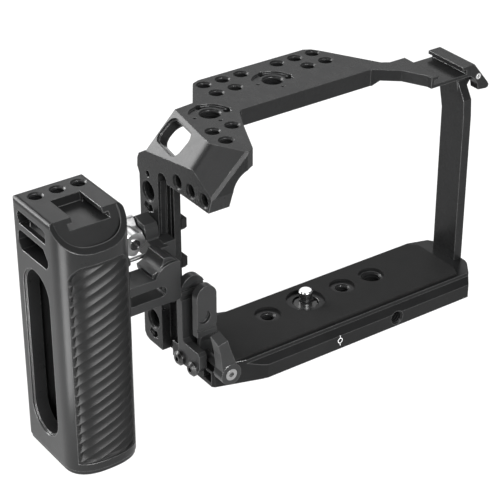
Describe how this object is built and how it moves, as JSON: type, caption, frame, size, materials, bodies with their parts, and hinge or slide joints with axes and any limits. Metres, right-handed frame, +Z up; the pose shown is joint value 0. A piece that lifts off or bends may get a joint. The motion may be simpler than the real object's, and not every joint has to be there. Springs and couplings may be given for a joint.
{
  "type": "camera cage",
  "caption": "Black metal camera cage with a side handle that slides on a clamp rail, a cable clamp, an accessory shoe and rows of threaded holes.",
  "frame": {"origin": "on the camera screw's axis, at the seat of the camera", "axes": "+X to the camera's right as seen from behind it, +Y towards its lens, +Z up along the camera screw"},
  "size_m": [0.2216, 0.0743, 0.136],
  "materials": {
    "cage_anodised": "satin black anodised",
    "leg_anodised": "satin black anodised",
    "base_anodised": "satin black anodised",
    "clamp_anodised": "satin black anodised",
    "handle_anodised": "satin black anodised",
    "grip_rubber": "matt",
    "pad_rubber": "matt",
    "black_steel": "black oxide",
    "bright_steel": "turned",
    "lever_chrome": "polished"
  },
  "bodies": {
    "cage": {"cage_frame": "cage_anodised", "side_pads": "pad_rubber", "base_plate": "base_anodised", "base_pad": "pad_rubber", "right_leg": "leg_anodised", "fork_screw": "bright_steel", "frame_screws": "black_steel", "cable_bracket": "clamp_anodised", "cable_screws": "bright_steel", "cable_lock_pin": "bright_steel"},
    "camera_fastener": {"camera_screw": "bright_steel", "camera_screw_clip": "black_steel"},
    "near_jaw": {"cable_jaw": "clamp_anodised"},
    "thumb": {"cable_rod": "black_steel", "thumb_lever": "clamp_anodised", "thumb_lever_screw": "bright_steel"},
    "handle": {"grip_shell": "handle_anodised", "wave_grip": "grip_rubber", "grip_cap": "handle_anodised", "cap_screws": "black_steel", "clamp_bracket": "clamp_anodised", "bracket_bolts": "black_steel", "jaw_guide_pin": "bright_steel", "lock_bush": "bright_steel", "lock_spring": "bright_steel"},
    "rail_jaw": {"front_jaw": "clamp_anodised"},
    "lever": {"clamp_rod": "bright_steel", "chrome_lever": "lever_chrome", "lever_screw": "bright_steel", "lever_spring": "bright_steel"},
    "safety_pin": {"lock_pin": "bright_steel", "lock_knob": "bright_steel"}
  },
  "joints": [
    {"name": "handle_slide", "type": "slide", "parent": "cage", "child": "handle", "axis": [0, 0, 1], "range_m": [-0.022, 0.022]},
    {"name": "camera_screw_turn", "type": "hinge", "parent": "cage", "child": "camera_fastener", "pos_m": [0, 0, 0], "axis": [0, 0, 1], "continuous": true},
    {"name": "lever_turn", "type": "hinge", "parent": "handle", "child": "lever", "pos_m": [-0.0782, 0.022, 0.0466], "axis": [0, 1, 0], "range_deg": [-100, 0]},
    {"name": "rail_jaw_slide", "type": "slide", "parent": "handle", "child": "rail_jaw", "axis": [0, 1, 0], "range_m": [0, 0.0015]},
    {"name": "lock_pull", "type": "slide", "parent": "handle", "child": "safety_pin", "axis": [-1, 0, 0], "range_m": [0, 0.0013], "stiffness_N_per_m": 400},
    {"name": "thumb_turn", "type": "hinge", "parent": "cage", "child": "thumb", "pos_m": [-0.0603, -0.02, -0.0014], "axis": [0, 1, 0], "range_deg": [-90, 0]},
    {"name": "near_jaw_slide", "type": "slide", "parent": "cage", "child": "near_jaw", "axis": [0, -1, 0], "range_m": [0, 0.0015]}
  ],
  "couplings": [
    {"joint": "rail_jaw_slide", "follows": "lever_turn", "m_per_rad": -0.00085944},
    {"joint": "near_jaw_slide", "follows": "thumb_turn", "m_per_rad": -0.00095493}
  ]
}
